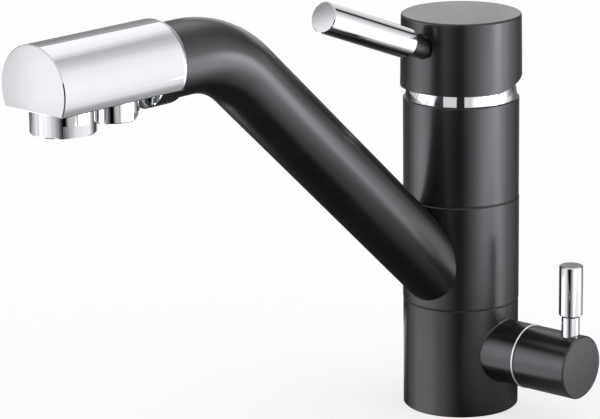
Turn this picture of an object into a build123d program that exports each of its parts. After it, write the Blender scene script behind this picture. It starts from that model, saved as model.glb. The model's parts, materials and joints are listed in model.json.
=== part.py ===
# Three way filtered water tap for a kitchen sink: a round column with a swivel spout, a single
# lever for hot and cold water on top, and a side valve for the filtered water, which leaves the
# spout through its own small nozzle. Millimetres, +Z up. The origin is the centre of the base's
# underside on the worktop. The spout points to -Y and the side valve to about +X.
import os
from math import cos, hypot, radians, sin, tan

from build123d import *

os.makedirs("parts", exist_ok=True)

# ------------------------------------------------------------------ driving dimensions
# Clearances
running = 0.08             # a shaft in its bore
seat = 0.1                 # pieces screwed or pushed together
moving = 0.3               # faces that pass each other
edge = 0.4                 # chamfer on machined edges
seam_edge = 0.3            # chamfer on both sides of a seam

# Column, from the worktop up
body_r = 25.0              # base and upper body, outside
base_height = 47.7
base_edge = 0.5
slide_ring_t = 0.5         # thin rings in the two seams, which the swivel sleeve turns on
sleeve_length = 45.2
upper_body_length = 43.45
upper_body_round = 0.8
sleeve_proud = 0.15        # the swivel sleeve is this much larger than its neighbours
seam_inset = 0.4           # the seam rings lie this far inside the body's surface

# Core: the brass column inside, which the sleeve turns on
journal_r = 17.75
core_step = 0.75           # the core's foot and thread are this much smaller in radius
core_thread_r = journal_r - core_step
core_foot_r = core_thread_r - core_step
o_ring_section = 2.4
annulus_depth = 2.2        # ring channels that carry the water to the spout
filter_annulus_rise = 9.8  # lowest channel, above the sleeve's foot
filter_annulus_height = 8.0
annulus_land = 5.0         # between the two channels, and room for a seal
mixed_annulus_drop = 7.9   # top of the upper channel, below the sleeve's top
seat_below_top = 31.35     # the cartridge's seat, below the upper body's top

# Supply side, in the base's underside
inlet_thread_r = 4.5       # M10 x 1, tapping size
inlet_depth = 14.0
stud_thread_r = 3.4        # M8, tapping size
stud_depth = 16.0
hot_port = (-7.1, -5.2)
cold_port = (7.1, -5.2)
filter_port = (0.0, 5.0)
stud_inset = 9.5           # from the body's outside
stud_place = (0.0, body_r - stud_inset)
channel_r = 2.4            # hot, cold and mixed water
filter_way_r = 2.0         # filtered water
gasket_inset = 1.5
gasket_width = 2.8
gasket_outer_r = body_r - gasket_inset
gasket_inner_r = gasket_outer_r - gasket_width
gasket_t = 2.0

# Spout
tube_r = 15.05
tube_wall = 1.6
spout_slope = 41.9         # degrees above the worktop
spout_root_rise = 0.6      # where the tube's axis would cross the column's, above the sleeve's foot
spout_rise = 133.0         # from there up to the level end of the tube
bend_r = 49.0
foot_edge = 0.5            # bevel round the tube's foot on the sleeve
sleeve_way_r = 5.5         # opening from the ring channel to the tube
filter_pipe_r = 4.0
filter_pipe_wall = 1.0
filter_pipe_drop = 8.4     # below the tube's axis on the slope
filter_pipe_end_drop = 2.3
filter_pipe_bend_r = 45.0
filter_pipe_foot_r = 5.0

# Outlet head. Distances along the spout are from the column's axis
head_r = 17.7
head_front = 246.0
front_margin = 2.15        # from the mixed nozzle to the head's front
nozzle_gap = 1.45          # between the two nozzles
step_gap = 3.2             # from the filter nozzle to the step, where the flat underside ends
collar_length = 13.6       # round part behind the step
head_flat_drop = 8.4       # flat underside, below the head's axis
head_flat_edge = 0.7
head_back_round = 5.0
collar_r = 16.4
head_seal_t = 1.0
head_wall = 2.4
well_r = 8.0               # closed well over the filter nozzle
well_room = 1.0

# Nozzles
mixed_nozzle_r = 12.75
mixed_spigot_r = 11.0      # M22 x 1
mixed_nozzle_height = 9.9
mixed_flat_bearing = -17.0
mixed_flat_height = 4.8    # spanner flats at the mouth
filter_nozzle_r = 10.9
filter_spigot_r = 9.0      # M18 x 1
filter_nozzle_height = 9.0
filter_flat_bearing = 36.0
filter_flat_height = 3.2
spigot_height = 4.4
nozzle_floor = 1.2
nozzle_lip = 2.2           # the mouth, inwards from the spigot's radius
flat_depth = 1.3
washer_t = 1.0
cup_height = 3.0           # the insert's cup, above its grid
cup_wall = 1.2
grid_margin = 3.0
grid_hole_share = 0.36     # radius of a grid hole over the grid's spacing

# Cartridge
mixed_port = (0.0, 4.0)    # in the cartridge's seat
cartridge_r = 17.5
cartridge_wall = 1.5
cartridge_height = 25.0
cartridge_neck_r = 13.0
cartridge_neck_height = 8.8
cartridge_lid_t = 2.8
port_seal_t = 0.5
port_seal_width = 1.2
base_plate_t = 4.0
disc_t = 4.0
disc_play = 0.4            # round the fixed disc, in the cartridge
fixed_disc_r = cartridge_r - cartridge_wall - disc_play
moving_disc_r = 13.0
moving_disc_y = 2.65       # off the axis when the water is shut
mixing_pocket_r = 6.3
mixing_pocket_depth = 2.0
driver_t = 6.5
socket_floor = 1.5
carrier_r = 10.5
carrier_flange_t = 3.1
carrier_above_pivot = 4.5
pivot_pin_r = 1.5
stem_side = 8.0
stem_tail_r = 2.8
stem_ball_r = 3.4
ball_play = 0.1            # below the ball, in its socket
lift_angle = 25.0
nut_wall = 4.2             # the upper body's wall round the nut
nut_r = body_r - nut_wall
nut_height = 5.8
notch_width = 4.0
notch_depth = 3.0

# Handle
pivot_rise = 4.5           # lift pivot, above the cartridge's shoulder
dome_inset = 0.9           # from the body's outside
dome_r = body_r - dome_inset  # the chrome dome under the cap, a sphere about the lift pivot
dome_wall = 1.6
dome_mouth_inset = 4.8
dome_mouth_r = dome_r - dome_mouth_inset
cap_rise = 6.4             # the cap's rim, above the pivot
cap_height = 31.1
cap_play = 0.4             # between the cap's skirt and the dome
cap_skirt_wall = 1.7
cap_taper = 0.4
cap_ledge = 2.0            # the wall above the skirt is thicker by this
cap_skirt_r = dome_r + cap_play
cap_low_r = cap_skirt_r + cap_skirt_wall
cap_high_r = cap_low_r - cap_taper
cap_inner_r = cap_skirt_r - cap_ledge
cap_round = 1.0
cap_skirt_height = 9.0
cap_top_t = 3.0
cap_cut_y = -5.0           # the rear of the cap's rim is cut away from here
cap_cut_angle = 13.0
boss_r = 8.5
boss_rise = 16.0           # the boss's underside, above the pivot
stem_grip = 8.0            # how far the stem reaches into the boss
lug_r = 6.5
lever_root_rise = 16.6     # where the lever's axis would cross the column's, above the pivot
lever_rise = 20.5          # degrees
lever_r = 6.55
lever_start = 37.0
lever_end = 92.0
lever_root_round = 1.6
lever_thread_r = 3.5
lever_thread_length = 10.0
neck_r = 4.6
spot_r = 5.7
spot_depth = 1.4

# Side valve
valve_bearing = 3.0        # degrees from +X towards +Y
valve_z = 27.5
valve_r = 13.7
horn_length = 12.4         # out of the body's side
horn_end = body_r + horn_length
horn_root_round = 0.6
horn_ring_t = 0.8
horn_ring_bead = 0.35      # rounding of the ring's outer edges
horn_ring_proud = 0.25
horn_ring_r = valve_r + horn_ring_proud
knob_length = 27.3         # with the ring
knob_end = horn_end + knob_length
knob_edge = 0.6
valve_thread_r = 9.4
valve_bore_inset = 6.8     # how far the valve's bore goes into the body
valve_bore_start = body_r - valve_bore_inset
valve_seal_t = 1.0
valve_disc_r = 7.0
valve_disc_t = 3.0
valve_port_offset = 3.7
valve_pocket_depth = 1.5
bonnet_nose = 5.0
core_foot_drop = 5.5       # the core's foot, below the side valve's axis
filter_feed_drop = 1.5     # top of the feed to the valve, below its axis
filter_return_rise = 7.0   # bottom of the way back from it, above its axis
knob_wall = 2.0
knob_head = 15.7           # solid end of the knob
knob_skirt_end = knob_end - knob_head
spindle_r = 3.9
spindle_flange_t = 3.6
spindle_inset = 10.3
spindle_end = knob_end - spindle_inset
pin_inset = 5.9
pin_x = knob_end - pin_inset
pin_grip_r = 5.05
pin_stem_r = 3.85
pin_waist = 0.5
pin_thread_r = 2.9
pin_thread_length = 7.0
pin_stem_length = 8.6      # from the knob's surface to the grip
pin_grip_length = 22.0
pin_seat_depth = 2.0
screw_r = 1.6
screw_sink = 1.5
socket_r = 0.9
socket_depth = 1.6

# ------------------------------------------------------------------ worked out from them
sleeve_low = base_height + slide_ring_t
sleeve_high = sleeve_low + sleeve_length
upper_low = sleeve_high + slide_ring_t
upper_high = upper_low + upper_body_length
sleeve_r = body_r + sleeve_proud
sleeve_bore_r = journal_r + running
seat_z = upper_high - seat_below_top
filter_annulus_low = sleeve_low + filter_annulus_rise
filter_annulus = (filter_annulus_low, filter_annulus_low + filter_annulus_height)
mixed_annulus = (filter_annulus[1] + annulus_land, sleeve_high - mixed_annulus_drop)
filter_level = sum(filter_annulus) / 2
mixed_level = sum(mixed_annulus) / 2
o_ring_outer = sleeve_bore_r - 0.05
o_ring_heights = (
    (sleeve_low + filter_annulus[0]) / 2,
    (filter_annulus[1] + mixed_annulus[0]) / 2,
    (mixed_annulus[1] + sleeve_high) / 2,
)

slope = tan(radians(spout_slope))
spout_root_z = sleeve_low + spout_root_rise
outlet_z = spout_root_z + spout_rise
mixed_nozzle_y = head_front - front_margin - mixed_nozzle_r
filter_nozzle_y = mixed_nozzle_y - mixed_nozzle_r - nozzle_gap - filter_nozzle_r
head_step = filter_nozzle_y - filter_nozzle_r - step_gap
head_back = head_step - collar_length
tube_end = head_step - head_wall - head_seal_t
tube_inner_r = tube_r - tube_wall
flat_z = outlet_z - head_flat_drop
pipe_end_z = outlet_z - filter_pipe_end_drop
well_top = pipe_end_z + filter_pipe_r + head_wall + well_room
chamber_r = (outlet_z + head_r - flat_z) / 2 - head_wall
chamber_z = flat_z + head_wall + chamber_r
spigot_low = flat_z - spigot_height
mixed_bore_r = mixed_spigot_r - head_wall
filter_bore_r = well_r - head_wall

cartridge_low = seat_z + port_seal_t
shoulder_z = cartridge_low + cartridge_height
neck_top_z = shoulder_z + cartridge_neck_height
cartridge_inner_r = cartridge_r - cartridge_wall
fixed_disc_z = cartridge_low + base_plate_t
moving_disc_z = fixed_disc_z + disc_t
driver_z = moving_disc_z + disc_t
carrier_low = driver_z + driver_t + moving
pivot_z = shoulder_z + pivot_rise
ball_below_pivot = pivot_z - driver_z - socket_floor - ball_play - stem_ball_r
cap_low = pivot_z + cap_rise
cap_high = cap_low + cap_height
boss_low = pivot_z + boss_rise
stem_top = boss_low + stem_grip
lever_z = pivot_z + lever_root_rise

core_foot_z = valve_z - core_foot_drop
filter_feed_z = valve_z - filter_feed_drop
filter_return_z = valve_z + filter_return_rise
valve_disc_z = valve_bore_start + valve_seal_t + seat
turning_disc_z = valve_disc_z + valve_disc_t
spindle_z = turning_disc_z + valve_disc_t
spindle_flange_end = spindle_z + spindle_flange_t
bonnet_start = valve_bore_start + valve_seal_t
bonnet_collar_z = horn_end + horn_ring_t
bonnet_collar_r = valve_r - knob_wall - seat - running
knob_start = bonnet_collar_z + moving
pin_seat_z = valve_z + valve_r - pin_seat_depth
pin_thread_low = pin_seat_z - pin_thread_length
pin_grip_low = valve_z + valve_r + pin_stem_length
pin_top = pin_grip_low + pin_grip_length
screw_x = (knob_skirt_end + spindle_end) / 2

# Frames: each has its Z along the axis of the pieces that stand on it
valve_frame = Rot(0, 0, valve_bearing)
along_valve = valve_frame * Pos(0, 0, valve_z) * Rot(0, 90, 0)
along_lever = Pos(0, 0, lever_z) * Rot(90 - lever_rise, 0, 0)
along_spout = Pos(0, 0, outlet_z) * Rot(90, 0, 0)
across_pivot = Pos(0, 0, pivot_z) * Rot(0, 90, 0)


# ------------------------------------------------------------------ small helpers
def rod(radius, low, high):
    """A cylinder about Z from one height to another."""
    return Pos(0, 0, low) * Cylinder(radius, high - low, align=(Align.CENTER, Align.CENTER, Align.MIN))


def ring(outer, inner, low, high):
    """A tube about Z from one height to another."""
    return rod(outer, low, high) - rod(inner, low, high)


def drill(start, end, radius):
    """A cylinder from one point to another."""
    line = Vector(end) - Vector(start)
    plane = Plane(origin=start, z_dir=line)
    return plane * Cylinder(radius, line.length, align=(Align.CENTER, Align.CENTER, Align.MIN))


def turned(*points):
    """A solid turned about Z from an outline of (radius, height) points."""
    return revolve(make_face(Plane.XZ * Polyline(*points, close=True)), Axis.Z)


def edges_at(piece, height, radius):
    """The circular edges of a piece at one height that have one radius."""
    circles = piece.edges().filter_by(GeomType.CIRCLE)
    level = circles.filter_by(lambda e: abs(e.center().Z - height) < 0.01)
    return level.filter_by(lambda e: abs(e.radius - radius) < 0.01)


def port_holes(low, high):
    """The three water ways that run up to the cartridge."""
    holes = [Pos(*place, 0) * rod(channel_r, low, high) for place in (hot_port, cold_port, mixed_port)]
    return holes[0] + holes[1] + holes[2]


def slope_height(drop, distance):
    """Height of a line up the spout's slope, so far below the tube's axis."""
    return spout_root_z - drop / cos(radians(spout_slope)) + distance * slope


def slope_reach(drop, height):
    """Distance along the spout at which that line comes to a height."""
    return (height - slope_height(drop, 0)) / slope


# ------------------------------------------------------------------ base
def valve_way(foot, side):
    """Drilled way from the core to the side valve's seat, below its axis (1) or above it (-1)."""
    mouth = (along_valve * Pos(side * valve_port_offset, 0, valve_bore_start + seat)).position
    return drill(foot, mouth, filter_way_r)


def valve_ways():
    """The filtered water's way to the side valve and back."""
    return valve_way((*filter_port, filter_feed_z), 1) + valve_way((0, 0, filter_return_z), -1)


def base_body():
    """Painted brass casting that stands on the worktop, with the horn of the side valve."""
    body = rod(body_r, 0, base_height) + along_valve * rod(valve_r, 0, horn_end)
    joint = body.edges().filter_by(GeomType.CIRCLE, reverse=True).filter_by(GeomType.LINE, reverse=True)
    body = fillet(joint, horn_root_round)
    body -= rod(core_foot_r + seat, core_foot_z, base_height)
    body -= along_valve * rod(valve_thread_r + seat, valve_bore_start, horn_end)
    body -= valve_ways()
    for place in (hot_port, cold_port, filter_port):
        body -= Pos(*place, 0) * rod(inlet_thread_r, 0, inlet_depth)
        body -= Pos(*place, 0) * rod(channel_r, inlet_depth, core_foot_z)
    body -= Pos(*stud_place, 0) * rod(stud_thread_r, 0, stud_depth)
    body -= ring(gasket_outer_r + seat, gasket_inner_r - seat, 0, gasket_t)
    body = chamfer(edges_at(body, 0, body_r), base_edge)
    return chamfer(edges_at(body, base_height, body_r), seam_edge)


def base_gasket():
    """Flat rubber ring that seals the base on the worktop."""
    return ring(gasket_outer_r, gasket_inner_r, 0, gasket_t)


def body_core():
    """Brass column: foot in the base, journal for the swivel sleeve, seat for the cartridge."""
    core = rod(core_foot_r, core_foot_z, base_height)
    core += rod(journal_r, base_height, upper_low - moving)
    core += rod(core_thread_r, upper_low - moving, seat_z)
    for low, high in (filter_annulus, mixed_annulus):
        core -= ring(journal_r + 1, journal_r - annulus_depth, low, high)
    half_groove = o_ring_section / 2 + seat
    for height in o_ring_heights:
        groove_r = o_ring_outer - o_ring_section - seat
        core -= ring(journal_r + 1, groove_r, height - half_groove, height + half_groove)
    for place in (hot_port, cold_port):
        core -= Pos(*place, 0) * rod(channel_r, core_foot_z, seat_z)
    core -= Pos(*mixed_port, 0) * rod(channel_r, mixed_level, seat_z)
    core -= drill((*mixed_port, mixed_level), (0, journal_r, mixed_level), channel_r)
    core -= Pos(*filter_port, 0) * rod(filter_way_r, core_foot_z, filter_feed_z)
    core -= rod(filter_way_r, filter_return_z, filter_level)
    core -= drill((0, 0, filter_level), (0, -journal_r, filter_level), filter_way_r)
    return core - valve_ways()


def core_o_rings():
    """The three round seals that part the filtered water from the mixed water."""
    half = o_ring_section / 2
    seal = Torus(o_ring_outer - half, half)
    return Compound(children=[Pos(0, 0, height) * seal for height in o_ring_heights])


def slide_ring(low):
    """Thin plastic ring in a seam, which the swivel sleeve turns against."""
    return ring(body_r - seam_inset, sleeve_bore_r, low, low + slide_ring_t)


# ------------------------------------------------------------------ swivel spout
def swept_tube(path, outer, inner):
    """A tube of one section along a path."""
    plane = Plane(origin=path @ 0, z_dir=path % 0)
    return sweep(plane * (Circle(outer) - Circle(inner)), path=path)


def swivel_sleeve():
    """Painted ring that turns on the core and carries the spout tube."""
    sleeve = ring(sleeve_r, sleeve_bore_r, sleeve_low, sleeve_high)
    sleeve -= drill((0, 0, mixed_level), (0, -sleeve_r - 1, mixed_level), sleeve_way_r)
    sleeve -= drill((0, 0, filter_level), (0, -sleeve_r - 1, filter_level), filter_pipe_r + seat)
    for height in (sleeve_low, sleeve_high):
        sleeve = chamfer(edges_at(sleeve, height, sleeve_r), seam_edge)
    return sleeve


def spout_tube():
    """Bent painted tube, brazed to the sleeve and cut to its round side."""
    corner = (0, -slope_reach(0, outlet_z), outlet_z)
    path = FilletPolyline((0, 0, spout_root_z), corner, (0, -tube_end, outlet_z), radius=bend_r)
    tube = swept_tube(path, tube_r, tube_inner_r) - rod(sleeve_r, 0, sleeve_high)
    rims = tube.edges().filter_by(lambda e: abs(hypot((e @ 0.3).X, (e @ 0.3).Y) - sleeve_r) < 0.01)
    return chamfer(rims.sort_by(lambda e: e.length)[-1], foot_edge)


def filter_pipe():
    """Plastic pipe inside the spout that keeps the filtered water apart."""
    start = (0, -sleeve_bore_r - moving, filter_level)
    turn = (0, -slope_reach(filter_pipe_drop, filter_level), filter_level)
    corner = (0, -slope_reach(filter_pipe_drop, pipe_end_z), pipe_end_z)
    end = (0, -filter_nozzle_y + well_r - head_wall / 2, pipe_end_z)
    path = FilletPolyline(start, turn, corner, end, radius=[filter_pipe_foot_r, filter_pipe_bend_r])
    return swept_tube(path, filter_pipe_r, filter_pipe_r - filter_pipe_wall)


def outlet_head():
    """Chromed D-shaped head: socket for the tube, a chamber for the mixed water and a closed
    well for the filtered water, each with a spigot for its nozzle."""
    round_head = rod(head_r, head_back, head_front)
    round_head = along_spout * fillet(edges_at(round_head, head_back, head_r), head_back_round)
    under = Box(2 * head_r, head_front, head_r, align=(Align.CENTER, Align.MAX, Align.MAX))
    head = round_head - Pos(0, 0, flat_z) * under
    corners = head.edges().filter_by(Axis.Y).filter_by(lambda e: abs(e.center().Z - flat_z) < 0.01)
    head = fillet(corners, head_flat_edge)
    head += round_head & along_spout * rod(collar_r, head_back, head_step)
    head = chamfer(head.faces().sort_by(Axis.Y)[0].edges(), edge)

    head += Pos(0, -mixed_nozzle_y, 0) * rod(mixed_spigot_r, spigot_low, flat_z + 1)
    head += Pos(0, -filter_nozzle_y, 0) * rod(filter_spigot_r, spigot_low, flat_z + 1)
    head -= along_spout * rod(tube_r + seat, head_back, tube_end + head_seal_t)
    chamber = Pos(0, 0, chamber_z) * Rot(90, 0, 0) * rod(chamber_r, tube_end, head_front - head_wall)
    head -= chamber - Pos(0, -filter_nozzle_y, 0) * rod(well_r, flat_z, well_top)
    head -= Pos(0, -mixed_nozzle_y, 0) * rod(mixed_bore_r, 0, chamber_z)
    head -= Pos(0, -filter_nozzle_y, 0) * rod(filter_bore_r, 0, well_top - head_wall)
    return head - drill((0, -tube_end, pipe_end_z), (0, -filter_nozzle_y, pipe_end_z), filter_pipe_r + seat)


def head_seal():
    """Round seal between the tube's end and the head's socket."""
    return along_spout * ring(tube_r, tube_inner_r, tube_end, tube_end + head_seal_t)


def nozzle_housing(place, radius, spigot_r, height, flat_height, flat_bearing):
    """Chromed nozzle screwed on its spigot, with two spanner flats at its mouth."""
    low = flat_z - height
    top = flat_z - seat
    body = turned(
        (spigot_r - nozzle_lip, low),
        (radius - edge, low),
        (radius, low + edge),
        (radius, top - edge),
        (radius - edge, top),
        (spigot_r + seat, top),
        (spigot_r + seat, low + nozzle_floor),
        (spigot_r - nozzle_lip, low + nozzle_floor),
    )
    for side in (0, 180):
        slab = Box(2 * flat_depth, 3 * radius, flat_height, align=(Align.MIN, Align.CENTER, Align.MIN))
        body -= Pos(0, 0, low) * Rot(0, 0, flat_bearing + side) * Pos(radius - flat_depth, 0, 0) * slab
    return Pos(0, -place, 0) * body


def grid_places(spacing):
    """A centre place and two rings of places round it."""
    places = [(0, 0)]
    for radius, count in ((spacing, 6), (2 * spacing, 12)):
        for turn in range(count):
            angle = radians(360 * turn / count)
            places.append((radius * cos(angle), radius * sin(angle)))
    return places


def nozzle_insert(place, spigot_r, bore_r, height):
    """Jet straightener: a grid of small holes, and a cup that reaches up into the spigot."""
    low = flat_z - height + nozzle_floor + seat
    grid_top = spigot_low - washer_t - seat
    cup_r = bore_r - moving
    cup = rod(spigot_r - seat, low, grid_top)
    cup += ring(cup_r, cup_r - cup_wall, grid_top, grid_top + washer_t + cup_height)
    spacing = (spigot_r - grid_margin) / 2
    holes = [Pos(x, y, 0) * rod(spacing * grid_hole_share, low, grid_top) for x, y in grid_places(spacing)]
    return Pos(0, -place, 0) * (cup - Compound(children=holes))


def nozzle_washer(place, spigot_r, bore_r):
    """Flat rubber washer between a nozzle's insert and its spigot."""
    return Pos(0, -place, 0) * ring(spigot_r - seat, bore_r, spigot_low - washer_t, spigot_low)


# ------------------------------------------------------------------ upper body and cartridge
def upper_body():
    """Painted sleeve screwed on the core, which holds the cartridge."""
    body = rod(body_r, upper_low, upper_high)
    body -= rod(core_thread_r + seat, upper_low, seat_z)
    body -= rod(cartridge_r + seat, seat_z, shoulder_z)
    body -= rod(nut_r + seat, shoulder_z, upper_high)
    body = chamfer(edges_at(body, upper_low, body_r), seam_edge)
    return fillet(edges_at(body, upper_high, body_r), upper_body_round)


def port_seals():
    """Three rubber rings between the cartridge and its seat."""
    seal = ring(channel_r + port_seal_width, channel_r, seat_z, cartridge_low)
    return Compound(children=[Pos(*place, 0) * seal for place in (hot_port, cold_port, mixed_port)])


def cartridge_base():
    """Plastic foot of the cartridge with its three water ways."""
    foot = rod(cartridge_r, cartridge_low, fixed_disc_z)
    return foot - port_holes(cartridge_low, fixed_disc_z)


def cartridge_housing():
    """Plastic can of the cartridge, with the neck that guides the carrier."""
    lid_low = shoulder_z - cartridge_lid_t
    can = ring(cartridge_r, cartridge_inner_r, fixed_disc_z, lid_low)
    can += ring(cartridge_r, carrier_r + running, lid_low, shoulder_z)
    return can + ring(cartridge_neck_r, carrier_r + running, shoulder_z, neck_top_z)


def fixed_disc():
    """Lower ceramic disc, which stays still."""
    return rod(fixed_disc_r, fixed_disc_z, moving_disc_z) - port_holes(fixed_disc_z, moving_disc_z)


def moving_disc():
    """Upper ceramic disc, which slides and turns over the ports; its pocket mixes the water."""
    disc = rod(moving_disc_r, moving_disc_z, driver_z)
    pocket = rod(mixing_pocket_r, moving_disc_z, moving_disc_z + mixing_pocket_depth)
    return Pos(0, moving_disc_y, 0) * (disc - pocket)


def disc_driver():
    """Plastic cap on the moving disc, with the socket for the stem's ball."""
    cap = Pos(0, moving_disc_y, 0) * rod(moving_disc_r, driver_z, driver_z + driver_t)
    return cap - rod(stem_ball_r + running, driver_z + socket_floor, driver_z + driver_t)


def stem_carrier():
    """Plastic rotor in the cartridge's neck. It turns with the handle and holds the lift pivot."""
    flange_top = carrier_low + carrier_flange_t
    carrier_top = pivot_z + carrier_above_pivot
    carrier = rod(cartridge_inner_r - moving, carrier_low, flange_top)
    carrier += rod(carrier_r, flange_top, carrier_top)
    lift = radians(lift_angle)
    back = carrier_above_pivot * tan(lift) + stem_side / 2 / cos(lift) + moving
    front = ball_below_pivot * sin(lift) + stem_ball_r + moving
    slot_size = (stem_side + 2 * running, back + front, carrier_top - carrier_low)
    slot = Box(*slot_size, align=(Align.CENTER, Align.MIN, Align.MIN))
    carrier -= Pos(0, -front, carrier_low) * slot
    return carrier - across_pivot * rod(pivot_pin_r + 0.02, -carrier_r, carrier_r)


def pivot_pin():
    """Steel pin that the stem tips on."""
    half = carrier_r - moving
    return across_pivot * rod(pivot_pin_r, -half, half)


def cartridge_nut():
    """Brass ring nut that clamps the cartridge, with four spanner notches."""
    nut_top = shoulder_z + nut_height
    nut = ring(nut_r, cartridge_neck_r + moving, shoulder_z, nut_top)
    for turn in range(4):
        notch = Box(2 * notch_depth, notch_width, 2 * notch_depth)
        nut -= Rot(0, 0, 90 * turn + 45) * Pos(nut_r, 0, nut_top) * notch
    return nut


def trim_dome():
    """Chromed dome over the cartridge, which the cap tips round."""
    shell = Sphere(dome_r) - Sphere(dome_r - dome_wall)
    dome = Pos(0, 0, pivot_z) * shell & rod(dome_r, upper_high, pivot_z + dome_r)
    return dome - rod(dome_mouth_r, upper_high, pivot_z + dome_r)


# ------------------------------------------------------------------ handle
def cartridge_stem():
    """Steel stem: square top in the cap, pivot hole, and a ball that drives the disc."""
    square_low = pivot_z - stem_side / 2
    upright = (Align.CENTER, Align.CENTER, Align.MIN)
    stem = Pos(0, 0, square_low) * Box(stem_side, stem_side, stem_top - square_low, align=upright)
    stem += rod(stem_tail_r, pivot_z - ball_below_pivot, pivot_z)
    stem += Pos(0, 0, pivot_z - ball_below_pivot) * Sphere(stem_ball_r)
    return stem - across_pivot * rod(pivot_pin_r + running, -stem_side, stem_side)


def handle_cap():
    """Painted cap: a thin skirt round the dome, cut away at the rear so that it can tip back,
    and a boss inside that grips the stem and takes the lever's neck."""
    step = cap_low + cap_skirt_height
    ceiling = cap_high - cap_top_t
    rise = radians(lever_rise)
    cap = turned(
        (cap_skirt_r, cap_low),
        (cap_low_r, cap_low),
        (cap_high_r, cap_high),
        (0, cap_high),
        (0, ceiling),
        (cap_inner_r, ceiling),
        (cap_inner_r, step + cap_skirt_r - cap_inner_r),
        (cap_skirt_r, step),
    )
    cap = fillet(edges_at(cap, cap_high, cap_high_r), cap_round)
    wedge = Box(4 * cap_low_r, 3 * cap_low_r, cap_low_r, align=(Align.CENTER, Align.MIN, Align.MAX))
    cap -= Pos(0, cap_cut_y, cap_low) * Rot(cap_cut_angle, 0, 0) * wedge
    inside = rod(cap_inner_r + 0.5, cap_low, ceiling + 0.5)
    cap += rod(boss_r, boss_low, ceiling + 0.5)
    cap += along_lever * rod(lug_r, 0, cap_inner_r / cos(rise) + 1) & inside
    cap -= along_lever * rod(neck_r + seat, 0, lever_start)
    cap -= along_lever * rod(spot_r, cap_high_r / cos(rise) - spot_depth, lever_start)
    square = stem_side + 2 * seat
    hole = Box(square, square, 2 * stem_grip, align=(Align.CENTER, Align.CENTER, Align.MAX))
    return cap - Pos(0, 0, stem_top + seat) * hole


def lever_neck():
    """Black stud that joins the lever to the cap. Its upper inner corner clamps the stem."""
    rise = radians(lever_rise)
    inner_end = (stem_side / 2 + seat + neck_r * sin(rise)) / cos(rise)
    neck = rod(neck_r, inner_end, lever_start)
    return along_lever * (neck + rod(lever_thread_r, lever_start, lever_start + lever_thread_length))


def lever_rod():
    """Chromed round lever, rounded where it meets its neck."""
    lever = rod(lever_r, lever_start, lever_end)
    lever -= rod(lever_thread_r + seat, lever_start, lever_start + lever_thread_length + seat)
    lever = fillet(edges_at(lever, lever_start, lever_r), lever_root_round)
    return along_lever * chamfer(edges_at(lever, lever_end, lever_r), edge)


# ------------------------------------------------------------------ side valve
def horn_ring():
    """Thin chromed ring between the horn and the knob, with a rounded outside."""
    bead = ring(horn_ring_r, valve_thread_r + seat, horn_end, bonnet_collar_z)
    edges = edges_at(bead, horn_end, horn_ring_r) + edges_at(bead, bonnet_collar_z, horn_ring_r)
    return along_valve * fillet(edges, horn_ring_bead)


def port_pair(low, high):
    """Two openings across from each other, on the side valve's axis."""
    return Pos(valve_port_offset, 0, 0) * rod(filter_way_r, low, high) + Pos(
        -valve_port_offset, 0, 0
    ) * rod(filter_way_r, low, high)


def valve_seal():
    """Rubber seal at the bottom of the side valve's bore, with its two openings."""
    seal = rod(valve_thread_r, valve_bore_start, bonnet_start)
    return along_valve * (seal - port_pair(valve_bore_start, bonnet_start))


def valve_bonnet():
    """Brass headwork screwed into the horn, which holds the discs and guides the spindle."""
    nose_end = bonnet_collar_z + bonnet_nose
    bonnet = rod(valve_thread_r, bonnet_start, bonnet_collar_z)
    bonnet += rod(bonnet_collar_r, bonnet_collar_z, nose_end)
    bonnet -= rod(valve_disc_r + seat, bonnet_start, spindle_flange_end + seat)
    return along_valve * (bonnet - rod(spindle_r + running, bonnet_start, nose_end))


def valve_fixed_disc():
    """Ceramic disc with the two openings of the side valve."""
    disc = rod(valve_disc_r, valve_disc_z, turning_disc_z)
    return along_valve * (disc - port_pair(valve_disc_z, turning_disc_z))


def valve_turning_disc():
    """Ceramic disc whose pocket joins the two openings after a quarter turn."""
    disc = rod(valve_disc_r, turning_disc_z, spindle_z)
    length = 2 * (valve_port_offset + filter_way_r)
    pocket = Box(2 * filter_way_r, length, 2 * valve_pocket_depth)
    return along_valve * (disc - Pos(0, 0, turning_disc_z) * pocket)


def valve_spindle():
    """Brass spindle that turns the inner disc."""
    spindle = rod(valve_disc_r, spindle_z, spindle_flange_end)
    return along_valve * (spindle + rod(spindle_r, spindle_flange_end, spindle_end))


def valve_knob():
    """Painted knob over the valve's headwork, bored for the spindle, the pin and a grub screw."""
    knob = rod(valve_r, knob_start, knob_end)
    knob = chamfer(edges_at(knob, knob_end, valve_r), knob_edge)
    knob = chamfer(edges_at(knob, knob_start, valve_r), seam_edge)
    knob -= rod(valve_r - knob_wall, knob_start, knob_skirt_end)
    knob = along_valve * (knob - rod(spindle_r + seat, knob_skirt_end, spindle_end + seat))
    pin_at = valve_frame * Pos(pin_x, 0, 0)
    knob -= pin_at * rod(pin_stem_r + seat, pin_seat_z, valve_z + valve_r)
    knob -= pin_at * rod(pin_thread_r + seat, pin_thread_low - seat, pin_seat_z)
    screw_at = valve_frame * Pos(screw_x, 0, 0)
    return knob - screw_at * rod(screw_r + seat, valve_z - valve_r, valve_z - spindle_r)


def knob_pin():
    """Chromed turning pin that stands on the knob."""
    waist_r = pin_stem_r - pin_waist
    pin = turned(
        (0, pin_thread_low),
        (pin_thread_r, pin_thread_low),
        (pin_thread_r, pin_seat_z),
        (pin_stem_r, pin_seat_z),
        (pin_stem_r, pin_grip_low - 2 * seam_edge),
        (waist_r, pin_grip_low - seam_edge),
        (waist_r, pin_grip_low),
        (pin_grip_r - pin_waist, pin_grip_low),
        (pin_grip_r, pin_grip_low + pin_waist),
        (pin_grip_r, pin_top - edge),
        (pin_grip_r - edge, pin_top),
        (0, pin_top),
    )
    return valve_frame * Pos(pin_x, 0, 0) * pin


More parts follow.
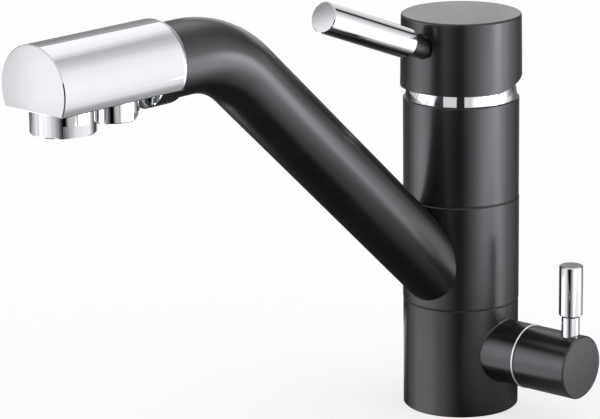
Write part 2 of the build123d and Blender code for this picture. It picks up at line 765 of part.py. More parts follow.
def knob_screw():
    """Steel grub screw that holds the knob on its spindle, with a hexagon socket."""
    low = valve_z - valve_r + screw_sink
    screw = rod(screw_r, low, valve_z - spindle_r)
    socket = extrude(RegularPolygon(socket_r, 6), amount=socket_depth)
    return valve_frame * Pos(screw_x, 0, 0) * (screw - Pos(0, 0, low) * socket)


# ------------------------------------------------------------------ write the pieces
mixed_at = (mixed_nozzle_y, mixed_nozzle_r, mixed_spigot_r, mixed_nozzle_height)
filter_at = (filter_nozzle_y, filter_nozzle_r, filter_spigot_r, filter_nozzle_height)
pieces = {
    "base_body": base_body(),
    "base_gasket": base_gasket(),
    "body_core": body_core(),
    "core_o_rings": core_o_rings(),
    "lower_slide_ring": slide_ring(base_height),
    "upper_slide_ring": slide_ring(sleeve_high),
    "swivel_sleeve": swivel_sleeve(),
    "spout_tube": spout_tube(),
    "filter_pipe": filter_pipe(),
    "outlet_head": outlet_head(),
    "head_seal": head_seal(),
    "mixed_nozzle": nozzle_housing(*mixed_at, mixed_flat_height, mixed_flat_bearing),
    "mixed_insert": nozzle_insert(mixed_nozzle_y, mixed_spigot_r, mixed_bore_r, mixed_nozzle_height),
    "mixed_washer": nozzle_washer(mixed_nozzle_y, mixed_spigot_r, mixed_bore_r),
    "filter_nozzle": nozzle_housing(*filter_at, filter_flat_height, filter_flat_bearing),
    "filter_insert": nozzle_insert(filter_nozzle_y, filter_spigot_r, filter_bore_r, filter_nozzle_height),
    "filter_washer": nozzle_washer(filter_nozzle_y, filter_spigot_r, filter_bore_r),
    "upper_body": upper_body(),
    "port_seals": port_seals(),
    "cartridge_base": cartridge_base(),
    "cartridge_housing": cartridge_housing(),
    "fixed_disc": fixed_disc(),
    "moving_disc": moving_disc(),
    "disc_driver": disc_driver(),
    "stem_carrier": stem_carrier(),
    "pivot_pin": pivot_pin(),
    "cartridge_nut": cartridge_nut(),
    "trim_dome": trim_dome(),
    "cartridge_stem": cartridge_stem(),
    "handle_cap": handle_cap(),
    "lever_neck": lever_neck(),
    "lever_rod": lever_rod(),
    "horn_ring": horn_ring(),
    "valve_seal": valve_seal(),
    "valve_bonnet": valve_bonnet(),
    "valve_fixed_disc": valve_fixed_disc(),
    "valve_turning_disc": valve_turning_disc(),
    "valve_spindle": valve_spindle(),
    "valve_knob": valve_knob(),
    "knob_pin": knob_pin(),
    "knob_screw": knob_screw(),
}

for name, piece in pieces.items():
    export_step(piece, f"parts/{name}.step")
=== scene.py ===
"""Looks of a three way filtered water tap: satin black lacquer and polished chrome on a white
studio floor. Metres, +Z up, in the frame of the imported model."""
import json
from math import cos, pi, radians, sin

import bpy
from mathutils import Matrix, Vector


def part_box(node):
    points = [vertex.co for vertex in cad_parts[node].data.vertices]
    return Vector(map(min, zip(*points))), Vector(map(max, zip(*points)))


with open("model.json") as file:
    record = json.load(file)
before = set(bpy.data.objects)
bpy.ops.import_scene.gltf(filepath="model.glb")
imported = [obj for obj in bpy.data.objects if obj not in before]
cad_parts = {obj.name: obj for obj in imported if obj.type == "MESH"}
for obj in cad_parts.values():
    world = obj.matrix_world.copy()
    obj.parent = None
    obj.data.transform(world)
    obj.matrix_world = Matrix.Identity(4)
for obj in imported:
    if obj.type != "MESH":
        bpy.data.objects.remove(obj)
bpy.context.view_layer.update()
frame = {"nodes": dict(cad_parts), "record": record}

MM = 0.001
DEGREES = 180 / pi

# Where the camera stands, seen from the tap
CAMERA_AZIMUTH = radians(43.409)
CAMERA_PITCH = radians(14.894)
CAMERA_ROLL = radians(-0.636)
CAMERA_PLACE = Vector((907.8, -1061.0, 458.3)) * MM
CAMERA_SEES_TO = 50.0
SENSOR_WIDTH = 36.0
LENS = 200.08

# Blender's own patterns
NOISE_LOW, NOISE_HIGH = 0.3, 0.7   # most values of its noise lie between these
WAVE_BANDS = 20 / (2 * pi)         # bands that its wave texture draws in one unit

# The studio, in metres from the column's axis
WHITE = "#ffffff"
FLOOR_PAINT = "#f4f4f4"
FLOOR_WHITE_SHARE = 0.7            # the rest of the floor's look is its paint, with the shadow
FLOOR_HALF = 6.0
# The card with the floor's painted light, that only reflections show
PAINTED_FLOOR_REACH = 1.7
PAINTED_FLOOR_HEIGHT = -1 * MM
LOW_CARD_TOP = -2 * MM
WALL_REACH = 1.9
DARK = 0.03                        # a dark card's brightness
RIGHT, TOWARD, UP = 0, 1, 2        # the parts of a place in the studio

seal_low, seal_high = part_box("head_seal")
HEAD_AXIS = (seal_low[2] + seal_high[2]) / 2


def linear(colour):
    """An sRGB hex colour as linear red, green, blue and alpha."""
    parts = [int(colour[i:i + 2], 16) / 255 for i in (1, 3, 5)]
    return [c / 12.92 if c <= 0.04045 else ((c + 0.055) / 1.055) ** 2.4 for c in parts] + [1.0]


def add(tree, kind, inputs=None, **settings):
    """One shader node with its settings. An input is a value, or the socket that feeds it."""
    node = tree.nodes.new(kind)
    for name, value in settings.items():
        setattr(node, name, value)
    for name, value in (inputs or {}).items():
        if isinstance(value, bpy.types.NodeSocket):
            tree.links.new(value, node.inputs[name])
        else:
            node.inputs[name].default_value = value
    return node


def new_material(name):
    """An empty material and its node tree."""
    material = bpy.data.materials.new(name)
    material.use_nodes = True
    material.node_tree.nodes.clear()
    return material, material.node_tree


def finish_material(tree, shader):
    """Joins the shader to the material's surface."""
    add(tree, "ShaderNodeOutputMaterial", {"Surface": shader.outputs[0]})


def spread(tree, value, low, high):
    """A noise value, spread over a range."""
    return add(
        tree, "ShaderNodeMapRange",
        {
            "Value": value, "From Min": NOISE_LOW, "From Max": NOISE_HIGH,
            "To Min": low, "To Max": high,
        },
    ).outputs[0]


def clouded(tree, cloud, dark, light):
    """A colour that a noise varies between two hex colours."""
    return add(
        tree, "ShaderNodeMix",
        {"Factor": spread(tree, cloud, 0.0, 1.0), 6: linear(dark), 7: linear(light)},
        data_type="RGBA",
    ).outputs[2]


def noise(tree, size_mm, detail=3.0):
    """Noise whose lumps are about this far apart on the object."""
    place = add(tree, "ShaderNodeTexCoord").outputs["Object"]
    return add(
        tree, "ShaderNodeTexNoise",
        {"Vector": place, "Scale": 1 / (size_mm * MM), "Detail": detail},
    ).outputs[0]


def relief(tree, height, depth_mm):
    """A fine relief of this depth."""
    return add(
        tree, "ShaderNodeBump", {"Height": height, "Distance": depth_mm * MM, "Strength": 1.0}
    ).outputs[0]


# ------------------------------------------------------------------ finishes
def satin_black_lacquer():
    """Baked satin epoxy lacquer on brass: near black, with a soft shine and the faint orange peel
    of a sprayed coat. The slightly cool tint of the shine is painted: it stands in for cool light."""
    material, tree = new_material("satin_black_lacquer")
    peel = noise(tree, size_mm=0.9, detail=2.0)
    cloud = noise(tree, size_mm=28.0)
    finish_material(tree, add(tree, "ShaderNodeBsdfPrincipled", {
        "Base Color": clouded(tree, cloud, "#060607", "#08080a"),
        "Roughness": spread(tree, cloud, 0.23, 0.27),
        "IOR": 1.6,
        # Painted cool tint of the shine, standing in for cool light
        "Specular Tint": linear("#f7f7ff"),
        "Normal": relief(tree, peel, depth_mm=0.004),
    }))
    return material


def polished_chrome():
    """Bright chrome plate on polished brass: a mirror with a cool tint and very slight waves."""
    material, tree = new_material("polished_chrome")
    waves = noise(tree, size_mm=14.0, detail=1.0)
    haze = noise(tree, size_mm=6.0)
    finish_material(tree, add(tree, "ShaderNodeBsdfPrincipled", {
        "Base Color": linear("#cdced1"),
        "Metallic": 1.0,
        "Roughness": spread(tree, haze, 0.03, 0.06),
        "Normal": relief(tree, waves, depth_mm=0.01),
    }))
    return material


def satin_chrome():
    """Chrome on a finely blasted ring: it spreads the light, so the thin line is evenly bright."""
    material, tree = new_material("satin_chrome")
    blast = noise(tree, size_mm=0.3)
    finish_material(tree, add(tree, "ShaderNodeBsdfPrincipled", {
        "Base Color": linear("#dedfe2"),
        "Metallic": 1.0,
        "Roughness": spread(tree, blast, 0.35, 0.42),
        "Normal": relief(tree, blast, depth_mm=0.003),
    }))
    return material


def blackened_steel():
    """Turned steel, blackened in a bath: dark, with a fine grain and a dull shine."""
    material, tree = new_material("blackened_steel")
    grain = noise(tree, size_mm=0.5)
    finish_material(tree, add(tree, "ShaderNodeBsdfPrincipled", {
        "Base Color": clouded(tree, grain, "#0d0d0f", "#141417"),
        "Roughness": 0.3,
        "IOR": 1.6,
        "Normal": relief(tree, grain, depth_mm=0.006),
    }))
    return material


def turned_metal(name, dark, light, rough, ring_mm):
    """A lathe turned metal: rings one above the other, and a little change of colour. Real lathe
    rings are 0.1 to 0.2 mm apart. They are drawn much coarser here, so that they show."""
    material, tree = new_material(name)
    rings = add(
        tree, "ShaderNodeTexWave",
        {
            "Vector": add(tree, "ShaderNodeTexCoord").outputs["Object"],
            "Scale": 1 / (ring_mm * MM * WAVE_BANDS), "Distortion": 0.5, "Detail": 1.0,
        },
        wave_type="BANDS", bands_direction="Z",
    ).outputs["Fac"]
    cloud = noise(tree, size_mm=5.0)
    finish_material(tree, add(tree, "ShaderNodeBsdfPrincipled", {
        "Base Color": clouded(tree, cloud, dark, light),
        "Metallic": 1.0,
        "Roughness": spread(tree, cloud, rough - 0.04, rough + 0.04),
        "Normal": relief(tree, rings, depth_mm=0.01),
    }))
    return material


def machined_brass():
    """Bare machined brass: warm yellow, with the rings of the lathe."""
    return turned_metal("machined_brass", "#b08d4a", "#cfae68", rough=0.28, ring_mm=3.77)


def turned_stainless():
    """Turned stainless steel: neutral grey, with the rings of the lathe."""
    return turned_metal("turned_stainless", "#9b9c9e", "#b9babc", rough=0.26, ring_mm=3.14)


def moulded(name, dark, light, rough, ior, grain_mm, depth_mm):
    """A moulded or ground piece: an even colour with a fine grain."""
    material, tree = new_material(name)
    grain = noise(tree, grain_mm)
    cloud = noise(tree, size_mm=12.0)
    finish_material(tree, add(tree, "ShaderNodeBsdfPrincipled", {
        "Base Color": clouded(tree, cloud, dark, light),
        "Roughness": spread(tree, grain, rough - 0.05, rough + 0.05),
        "IOR": ior,
        "Normal": relief(tree, grain, depth_mm),
    }))
    return material


def black_rubber():
    """Moulded nitrile rubber: dull black with a fine bloom."""
    return moulded(
        "black_rubber", "#131313", "#1d1d1d", rough=0.7, ior=1.52, grain_mm=0.8, depth_mm=0.02)


def black_acetal():
    """Cut acetal rings: dull black."""
    return moulded(
        "black_acetal", "#0c0c0d", "#121214", rough=0.5, ior=1.48, grain_mm=0.7, depth_mm=0.01)


def grey_acetal():
    """Moulded grey acetal: even, slightly waxy."""
    return moulded(
        "grey_acetal", "#85888c", "#94979b", rough=0.38, ior=1.48, grain_mm=0.6, depth_mm=0.01)


def white_acetal():
    """Moulded white acetal: even, slightly waxy."""
    return moulded(
        "white_acetal", "#dcdcd8", "#e8e8e4", rough=0.36, ior=1.48, grain_mm=0.6, depth_mm=0.01)


def ground_ceramic():
    """Ground alumina: off-white and nearly flat, with a dull polish."""
    return moulded(
        "ground_ceramic", "#e6e2d8", "#f0ede4", rough=0.22, ior=1.77, grain_mm=0.4, depth_mm=0.002)


FINISHES = {
    "satin_black": satin_black_lacquer,
    "chrome": polished_chrome,
    "black_steel": blackened_steel,
    "brass": machined_brass,
    "steel": turned_stainless,
    "black_rubber": black_rubber,
    "black_plastic": black_acetal,
    "grey_plastic": grey_acetal,
    "white_plastic": white_acetal,
    "ceramic": ground_ceramic,
}


def dress_the_nodes():
    """Gives each piece of the tap the finish of its slot, and the thin ring its own."""
    made = {slot: make() for slot, make in FINISHES.items()}
    ring = satin_chrome()
    for part in frame["record"]["subparts"]:
        mesh = frame["nodes"][part["node"]].data
        mesh.materials.clear()
        mesh.materials.append(ring if part["node"] == "horn_ring" else made[part["material_slot"]])


# ------------------------------------------------------------------ brightness
def times(tree, first, second):
    """The product of two brightnesses or lengths."""
    return add(tree, "ShaderNodeMath", {0: first, 1: second}, operation="MULTIPLY").outputs[0]


def plus(tree, first, *others):
    """The sum of brightnesses or lengths."""
    total = first
    for other in others:
        total = add(tree, "ShaderNodeMath", {0: total, 1: other}, operation="ADD").outputs[0]
    return total


def length_of(tree, first, second):
    """The distance that two lengths at right angles reach."""
    square = plus(tree, times(tree, first, first), times(tree, second, second))
    return add(tree, "ShaderNodeMath", {0: square, 1: 0.5}, operation="POWER").outputs[0]


def angle_of(tree, across, along):
    """The angle of a place in degrees, from the second direction towards the first."""
    angle = add(tree, "ShaderNodeMath", {0: across, 1: along}, operation="ARCTAN2").outputs[0]
    return times(tree, angle, DEGREES)


def graded(tree, value, stops):
    """A brightness that changes smoothly from stop to stop: pairs of a value and a brightness."""
    low, high = stops[0][0], stops[-1][0]
    brightest = max(level for _, level in stops)
    share = add(tree, "ShaderNodeMapRange", {"Value": value, "From Min": low, "From Max": high})
    ramp = add(tree, "ShaderNodeValToRGB", {"Fac": share.outputs[0]})
    ramp.color_ramp.interpolation = "EASE"
    while len(ramp.color_ramp.elements) < len(stops):
        ramp.color_ramp.elements.new(0.5)
    for element, (place, level) in zip(ramp.color_ramp.elements, stops):
        element.position = (place - low) / (high - low)
        element.color = [level / brightest] * 3 + [1.0]
    return times(tree, ramp.outputs[0], brightest)


def graded_twice(tree, first, first_stops, second, second_stops):
    """A brightness graded by two values."""
    return times(tree, graded(tree, first, first_stops), graded(tree, second, second_stops))


def blended(tree, factor, first, second):
    """A brightness between two others."""
    return add(tree, "ShaderNodeMix", {"Factor": factor, 2: first, 3: second}).outputs[0]


def studio_parts(tree, place):
    """A place or direction in the studio's own terms: to the right of the line from the tap to the
    camera stand, along that line, and up."""
    turned = add(
        tree, "ShaderNodeVectorRotate", {"Vector": place, "Angle": -CAMERA_AZIMUTH},
        rotation_type="Z_AXIS",
    ).outputs[0]
    part = add(tree, "ShaderNodeSeparateXYZ", {"Vector": turned}).outputs
    return part["X"], times(tree, part["Y"], -1.0), part["Z"]


def shows_background(tree):
    """1 for the rays that see the white background: the camera's, and those of metal and glass."""
    path = add(tree, "ShaderNodeLightPath").outputs
    seen = plus(tree, path["Is Camera Ray"], path["Is Glossy Ray"], path["Is Transmission Ray"])
    return add(tree, "ShaderNodeMath", {0: seen, 1: 1.0}, operation="MINIMUM").outputs[0]


# ------------------------------------------------------------------ studio
def studio_world():
    """The light of the studio, and the white background. Bearings run from the camera stand to the
    right, heights from the horizon, both in degrees. A softbox glows on either side, the room is
    dim behind and bright overhead, and nothing shines from below. The camera's rays, and those of
    metal and glass, see plain white instead."""
    world = bpy.data.worlds.new("white_studio")
    world.use_nodes = True
    tree = world.node_tree
    tree.nodes.clear()
    outward = add(tree, "ShaderNodeTexCoord").outputs["Generated"]
    right, toward, up = studio_parts(tree, outward)
    bearing = angle_of(tree, right, toward)
    rise = add(tree, "ShaderNodeMath", {0: up}, operation="ARCSINE").outputs[0]
    height = times(tree, rise, DEGREES)

    room = graded_twice(
        tree,
        bearing, [
            (-180, 0.35), (-150, 0.2), (-125, 0.5), (-100, 0.9), (-60, 0.75), (-30, 0.9), (15, 0.9),
            (60, 0.8), (105, 0.8), (120, 0.35), (135, 0.1), (150, 0.2), (180, 0.35),
        ],
        height, [
            (-90, 0.02), (-50, 0.04), (-30, 0.5), (-8, 1.0), (20, 1.0), (50, 0), (90, 0),
        ],
    )
    left_box = graded_twice(
        tree,
        bearing, [
            (-180, 0), (-135, 0), (-105, 2.0), (-90, 2.5), (-72, 2.1), (-55, 0), (180, 0),
        ],
        height, [
            (-90, 0), (-50, 0), (-10, 1.1), (8, 1.1), (22, 0.6), (35, 0.15), (50, 0), (90, 0),
        ],
    )
    right_box = graded_twice(
        tree,
        bearing, [
            (-180, 0), (5, 0), (30, 1.4), (50, 2.8), (75, 3.3), (88, 3.0), (100, 1.0), (112, 0),
            (180, 0),
        ],
        height, [(-90, 0), (-60, 0), (-28, 1.0), (6, 1.0), (20, 0.35), (45, 0), (90, 0)],
    )
    overhead = graded_twice(
        tree,
        bearing, [(-180, 0.9), (-150, 0.35), (-105, 0.35), (-70, 1.0), (180, 1.0)],
        height, [(-90, 0), (18, 0), (38, 0.4), (47, 0.75), (60, 1.3), (75, 2.0), (90, 2.4)],
    )
    studio = plus(tree, room, overhead, left_box, right_box)
    strength = blended(tree, shows_background(tree), studio, 1.0)
    background = add(
        tree, "ShaderNodeBackground", {"Color": linear(WHITE), "Strength": strength})
    add(tree, "ShaderNodeOutputWorld", {"Surface": background.outputs[0]})
    bpy.context.scene.world = world


def studio_place(right, toward, height):
    """A place given in the studio's terms: metres to the right, towards the camera stand, and above
    the floor."""
    return Vector((
        right * cos(CAMERA_AZIMUTH) + toward * sin(CAMERA_AZIMUTH),
        right * sin(CAMERA_AZIMUTH) - toward * cos(CAMERA_AZIMUTH),
        height,
    ))


def flat_sheet(left, right, back, front, height):
    """The corners of a level rectangle."""
    return [
        studio_place(left, front, height), studio_place(right, front, height),
        studio_place(right, back, height), studio_place(left, back, height),
    ]


def upright_sheet(start, end, low, high):
    """The corners of an upright rectangle between two places on the floor."""
    return [
        studio_place(*start, low), studio_place(*end, low),
        studio_place(*end, high), studio_place(*start, high),
    ]


def angles_between(first, last, count):
    """Evenly spaced angles in radians, between two in degrees."""
    return [radians(first + (last - first) * i / count) for i in range(count + 1)]


def wall_sheets(first, last, low, high):
    """Upright sheets side by side, bowed round the tap between two bearings."""
    edges = angles_between(first, last, count=16)
    spots = [(WALL_REACH * sin(angle), WALL_REACH * cos(angle)) for angle in edges]
    return [upright_sheet(start, end, low, high) for start, end in zip(spots, spots[1:])]


def studio_card(name, sheets, brightness):
    """A card of the studio that only the tap's reflections show. It glows but lights nothing, so
    its glow is a painted reflection. The brightness is a number, or a function that grades it over
    the card's places."""
    corners = [Vector(corner) for sheet in sheets for corner in sheet]
    mesh = bpy.data.meshes.new(name)
    mesh.from_pydata(corners, [], [tuple(range(i, i + 4)) for i in range(0, len(corners), 4)])
    material, tree = new_material(name)
    if callable(brightness):
        brightness = brightness(tree, add(tree, "ShaderNodeNewGeometry").outputs["Position"])
    glow = {"Color": linear(WHITE), "Strength": brightness}
    finish_material(tree, add(tree, "ShaderNodeEmission", glow))
    mesh.materials.append(material)
    card = bpy.data.objects.new(name, mesh)
    card.visible_camera = card.visible_diffuse = card.visible_shadow = False
    bpy.context.scene.collection.objects.link(card)


def bowed_card(name, middle, height, slope, radius, along, stops):
    """A card bowed round the axis of a piece that is round itself. The axis passes over X = 0 and
    Y = middle at this height, and slopes down backwards. Along says where the card begins and ends
    on it. The stops grade the brightness by the angle round it, from level on the +X side."""
    def spot(angle, back):
        rise = radius * sin(angle)
        return (
            radius * cos(angle),
            middle + back * cos(slope) + rise * sin(slope),
            height - back * sin(slope) + rise * cos(slope),
        )

    def glow(tree, place):
        part = add(tree, "ShaderNodeSeparateXYZ", {"Vector": place}).outputs
        rise = plus(
            tree,
            times(tree, plus(tree, part["Y"], -middle), sin(slope)),
            times(tree, plus(tree, part["Z"], -height), cos(slope)),
        )
        return graded(tree, angle_of(tree, rise, part["X"]), stops)

    edges = angles_between(stops[0][0], stops[-1][0], count=24)
    near, far = along
    sheets = [
        [spot(start, near), spot(end, near), spot(end, far), spot(start, far)]
        for start, end in zip(edges, edges[1:])
    ]
    studio_card(name, sheets, glow)


def graded_along(part, stops):
    """The brightness of a card that is graded to the right, towards the camera stand or up."""
    def glow(tree, place):
        return graded(tree, studio_parts(tree, place)[part], stops)
    return glow


def barrel_strip(tree, place, floor):
    """The strip of the floor card that the head's barrel mirrors has its own painted brightness, so
    that the barrel shows a painted reflection with shading. The strip curves away from the barrel,
    as its mirror image does."""
    drift = -0.88                  # along Y, for each metre of reach
    part = add(tree, "ShaderNodeSeparateXYZ", {"Vector": place}).outputs
    reach = length_of(tree, part["X"], HEAD_AXIS)
    across = plus(tree, part["Y"], times(tree, reach, drift))
    inside = graded_twice(
        tree,
        across, [(-0.305, 0), (-0.295, 1), (-0.156, 1), (-0.15, 0)],
        part["X"], [(0.02, 0), (0.05, 1)],
    )
    # Painted light of the strip: dim close to the tap, brighter further out
    white = graded(tree, reach, [
        (0.18, 0.15), (0.21, 0.53), (0.27, 1.2), (0.35, 1.36), (0.57, 1.42), (1.2, 1.45),
    ])
    return blended(tree, inside, floor, white)


def painted_floor_light(tree, place):
    """Painted light on the floor card that the tap's reflections show, in place of the white floor
    as the softboxes would light it, by bearing in degrees and by reach in metres: painted pools of
    light to the sides, painted shade behind and close to the tap, and black before the camera
    stand."""
    right, toward, _ = studio_parts(tree, place)
    reach = length_of(tree, right, toward)
    bearing = angle_of(tree, right, toward)
    left_side = graded_twice(
        tree,
        bearing, [
            (-180, 0.4), (-150, 0.2), (-130, 0.15), (-115, 0.7), (-100, 2.4), (-86, 3.8),
            (-72, 2.9), (-58, 0.3), (-45, 0), (180, 0),
        ],
        reach, [
            (0, 0.03), (0.2, 0.45), (0.35, 0.8), (0.5, 1), (0.68, 0.85), (0.8, 0.32), (1.7, 0.3),
        ],
    )
    near_right = graded_twice(
        tree,
        bearing, [
            (-180, 0), (0, 0), (10, 0.3), (20, 1.0), (30, 2.2), (42, 3.7), (55, 4.6), (67, 5.0),
            (76, 4.3), (86, 2.5), (95, 1.3), (107, 0.9), (118, 0.45), (135, 0.15), (160, 0.2),
            (180, 0.4),
        ],
        reach, [
            (0, 0.02), (0.06, 0.06), (0.1, 0.18), (0.2, 0.68), (0.32, 0.86), (0.52, 0.97),
            (0.72, 1.0),
        ],
    )
    far_right = graded(tree, bearing, [
        (-180, 0), (0, 0), (11, 0.3), (23, 0.7), (36, 1.2), (50, 1.8), (65, 3.0), (80, 4.0),
        (92, 3.0), (105, 1.2), (135, 0.2), (180, 0.2),
    ])
    is_far = graded(tree, reach, [(0.73, 0), (0.79, 1)])
    right_side = blended(tree, is_far, near_right, far_right)
    front = graded_twice(
        tree,
        bearing, [
            (-180, 0), (-92, 0), (-78, 0.3), (-66, 1.0), (-55, 1.3), (-45, 1.2), (-32, 0.8),
            (-20, 0.4), (-14, 0.12), (-8, 0), (-1, 0), (10, 0.45), (30, 0), (180, 0),
        ],
        reach, [(0, 0.05), (0.25, 0.35), (0.5, 0.32), (0.7, 0.6), (0.9, 1.1), (1.7, 1.1)],
    )
    return barrel_strip(tree, place, plus(tree, left_side, right_side, front))


def side_wall_glow(bearing_stops, height_stops):
    """The painted brightness of a large softbox as the tap's reflections show it, fading out to the
    white of the room.
    """
    room = 0.9

    def glow(tree, place):
        right, toward, up = studio_parts(tree, place)
        bearing = angle_of(tree, right, toward)
        return plus(tree, graded_twice(tree, bearing, bearing_stops, up, height_stops), room)
    return glow


def back_panel_glow(tree, place):
    """The painted brightness of a grey panel far behind the tap, as the tap's reflections show it.
    It fades out to the white of the room.
    """
    right, toward, up = studio_parts(tree, place)
    behind = angle_of(tree, times(tree, right, -1.0), times(tree, toward, -1.0))
    low_part = graded_twice(
        tree,
        behind, [
            (-75, 0.9), (-60, 0.35), (-45, 0.1), (-30, 0.2), (0, 0.35), (30, 0.2), (55, 0.5),
            (80, 0.9),
        ],
        up, [(0.69, 1), (2.26, 0)],
    )
    high_part = graded(tree, up, [(0, 0), (0.69, 0.03), (1.48, 0.36), (2.04, 0.68), (2.6, 0.95)])
    return plus(tree, low_part, high_part)


def head_end_glow(tree, place):
    """The painted reflection on the flat end of the head: the card it mirrors, brighter towards the
    camera stand.
    """
    _, toward, up = studio_parts(tree, place)
    return graded_twice(
        tree,
        toward, [(0.14, 0.9), (0.152, 1.04), (0.172, 1.42), (0.2, 1.45)],
        up, [(0.066, 0.88), (0.08, 1.0), (0.092, 1.0), (0.108, 0.9)],
    )


def lever_end_glow(tree, place):
    """The painted reflection on the lever's end: the card it mirrors, from dim at its top to bright
    below, on a slant.
    """
    slant = -0.82                  # metres towards the camera stand, for each metre up
    _, toward, up = studio_parts(tree, place)
    across = plus(tree, toward, times(tree, up, slant))
    return graded(tree, across, [(-0.22, 0.35), (-0.213, 0.42), (-0.195, 1.38), (-0.18, 1.4)])


def large_cards():
    """Cards of painted reflection: the camera stand, the softboxes, the panel behind, the floor's
    painted light and the dark below it.
    """
    # A dark card: the painted dark reflection of the camera stand
    studio_card("camera_stand", [
        upright_sheet(start=(-0.21, 1.0), end=(0.07, 1.0), low=0.0, high=2.5),
    ], DARK)
    # The painted softbox overhead fades out to both sides, as the walls do
    studio_card("overhead_softbox", [
        flat_sheet(left=-0.6, right=0.63, back=-1.5, front=-0.2, height=1.2),
    ], graded_along(RIGHT, [
        (-0.6, 0.2), (-0.3, 0.9), (-0.1, 1.5), (0.2, 1.5), (0.36, 1.4), (0.53, 1.05), (0.63, 0.74),
    ]))
    studio_card(
        "right_softbox", wall_sheets(first=15, last=110, low=-0.3, high=1.9),
        side_wall_glow(
            [(15, 0), (30, 1.3), (50, 2.6), (75, 3.1), (88, 2.8), (100, 0.8), (110, 0)],
            [(0.2, 1.0), (0.7, 0.35), (1.9, 0)],
        ),
    )
    studio_card(
        "left_softbox", wall_sheets(first=-135, last=-55, low=-0.3, high=1.9),
        side_wall_glow(
            [(-135, 0), (-105, 2.0), (-90, 2.5), (-72, 2.1), (-55, 0)],
            [(0.26, 1.1), (0.77, 0.6), (1.33, 0.15), (1.9, 0)],
        ),
    )
    studio_card(
        "back_panel", wall_sheets(first=110, last=260, low=-0.3, high=2.6), back_panel_glow)
    # A dark card below the floor: painted dark reflection of the space under it
    studio_card("dark_pit", [
        flat_sheet(left=-0.8, right=0.5, back=-0.8, front=0.8, height=-0.25),
    ], DARK)
    # The card with the floor's painted light has a hole to the left of the tap, where the low cards
    # shine up through it
    far = PAINTED_FLOOR_REACH
    hole_left, hole_back, hole_front = -0.24, -0.12, 0.24
    studio_card("painted_floor_card", [
        flat_sheet(0, far, -far, far, PAINTED_FLOOR_HEIGHT),
        flat_sheet(-far, hole_left, -far, far, PAINTED_FLOOR_HEIGHT),
        flat_sheet(hole_left, 0, hole_front, far, PAINTED_FLOOR_HEIGHT),
        flat_sheet(hole_left, 0, -far, hole_back, PAINTED_FLOOR_HEIGHT),
    ], painted_floor_light)


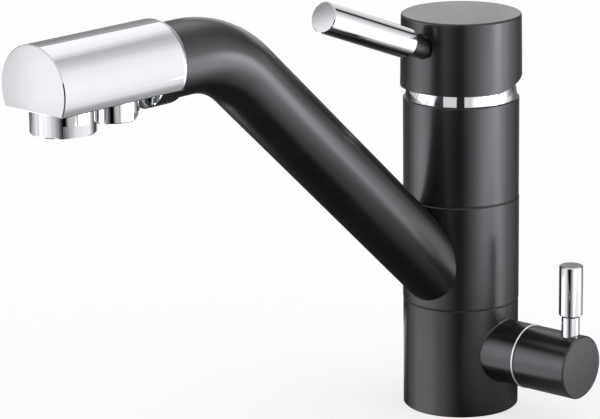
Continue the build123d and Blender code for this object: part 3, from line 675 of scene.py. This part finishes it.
def small_cards():
    """The cards that paint the reflections, highlights and shade of single faces of the tap."""
    # Below the floor, painted reflections for the base: the left card fades out to both ends, the
    # front one is lighter on the left
    studio_card("low_left_card", [
        upright_sheet(start=(-0.2, -0.2), end=(-0.2, 0.4), low=-0.15, high=LOW_CARD_TOP),
    ], graded_along(TOWARD, [
        (-0.2, 0), (-0.09, 0.5), (0, 1.6), (0.1, 1.9), (0.2, 1.1), (0.32, 0.3), (0.4, 0.1),
    ]))
    studio_card("low_front_card", [
        upright_sheet(start=(-0.24, 0.24), end=(0.02, 0.24), low=-0.2, high=LOW_CARD_TOP),
    ], graded_along(RIGHT, [
        (-0.24, 1.5), (-0.185, 1.2), (-0.137, 0.8), (-0.097, 0.5), (-0.061, 0.2), (-0.03, 0.03),
        (0.02, 0.03),
    ]))
    # Painted reflections for the head: its flat end, its barrel, and the flat side of its front
    # nozzle, with painted shade on the left
    studio_card("head_end_card", [
        upright_sheet(start=(-0.607, 0.135), end=(-0.607, 0.205), low=0.05, high=0.125),
    ], head_end_glow)
    bowed_card(
        "barrel_card", middle=0.0, height=HEAD_AXIS, slope=0.0, radius=0.714, along=(0.352, 0.51),
        stops=[
            (-14.6, 1.45), (8, 1.45), (32, 1.38), (40, 1.3), (48, 1.15), (56, 0.96), (64, 0.84),
            (74, 0.74), (80, 0.8),
        ],
    )
    studio_card("nozzle_card", [
        upright_sheet(start=(-0.0795, 0.237), end=(-0.067, 0.2295), low=0.134, high=0.153),
    ], graded_along(RIGHT, [
        (-0.0788, 0.02), (-0.077, 0.35), (-0.0752, 0.75), (-0.073, 1.2), (-0.07, 1.36),
        (-0.067, 1.4),
    ]))
    # Painted reflections for the lever: its end, and its round side with a painted dark line near
    # the top
    studio_card("lever_end_card", [
        upright_sheet(start=(-0.533, 0.055), end=(-0.533, 0.1), low=0.315, high=0.375),
    ], lever_end_glow)
    bowed_card(
        "lever_card", middle=-0.0617, height=0.1757, slope=radians(20.1), radius=0.1,
        along=(0.078, 0.14),
        stops=[
            (24, 2.0), (34, 1.35), (44, 1.2), (54, 1.0), (64, 0.8), (71, 0.5), (76, 0.04),
            (87, 0.04), (92, 0.4), (98, 0.9), (131, 1.0),
        ],
    )
    # Painted highlights for the column: a narrow glowing card for its right side, brighter above,
    # and a card for the cap's top
    studio_card("side_highlight_card", [
        upright_sheet(start=(0.2, 0.055), end=(0.2, 0.12), low=0.03, high=0.2),
    ], graded_along(UP, [
        (0.03, 4.0), (0.06, 4.1), (0.1, 4.8), (0.13, 6.0), (0.16, 7.2), (0.2, 7.2),
    ]))
    studio_card("cap_back_card", [
        upright_sheet(start=(-0.12, -0.29), end=(0.16, -0.29), low=0.203, high=0.31),
    ], brightness=1.25)


def pale_floor():
    """A wide white floor that keeps the tap's soft shadow."""
    half = FLOOR_HALF
    corners = [(-half, -half, 0), (half, -half, 0), (half, half, 0), (-half, half, 0)]
    mesh = bpy.data.meshes.new("floor")
    mesh.from_pydata(corners, [], [(0, 1, 2, 3)])
    material, tree = new_material("pale_floor")
    paint = add(tree, "ShaderNodeBsdfDiffuse", {"Color": linear(FLOOR_PAINT)}).outputs[0]
    glow = {"Color": linear(WHITE), "Strength": 1.0}
    white = add(tree, "ShaderNodeEmission", glow).outputs[0]
    share = times(tree, shows_background(tree), FLOOR_WHITE_SHARE)
    finish_material(tree, add(tree, "ShaderNodeMixShader", {0: share, 1: paint, 2: white}))
    mesh.materials.append(material)
    floor = bpy.data.objects.new("floor", mesh)
    floor.visible_glossy = floor.visible_shadow = False
    bpy.context.scene.collection.objects.link(floor)


def camera():
    """Stands where the photograph was taken from."""
    back = Vector((
        sin(CAMERA_AZIMUTH) * cos(CAMERA_PITCH),
        -cos(CAMERA_AZIMUTH) * cos(CAMERA_PITCH),
        sin(CAMERA_PITCH),
    ))
    level = Vector((cos(CAMERA_AZIMUTH), sin(CAMERA_AZIMUTH), 0))
    upright = back.cross(level)
    right = level * cos(CAMERA_ROLL) + upright * sin(CAMERA_ROLL)
    up = back.cross(right)
    turn = Matrix((right, up, back)).transposed().to_4x4()
    data = bpy.data.cameras.new("camera")
    data.lens = LENS
    data.sensor_width = SENSOR_WIDTH
    data.clip_end = CAMERA_SEES_TO
    obj = bpy.data.objects.new("camera", data)
    obj.matrix_world = Matrix.Translation(CAMERA_PLACE) @ turn
    bpy.context.scene.collection.objects.link(obj)
    bpy.context.scene.camera = obj


dress_the_nodes()
studio_world()
large_cards()
small_cards()
pale_floor()
camera()
bpy.context.scene.view_settings.view_transform = "Standard"
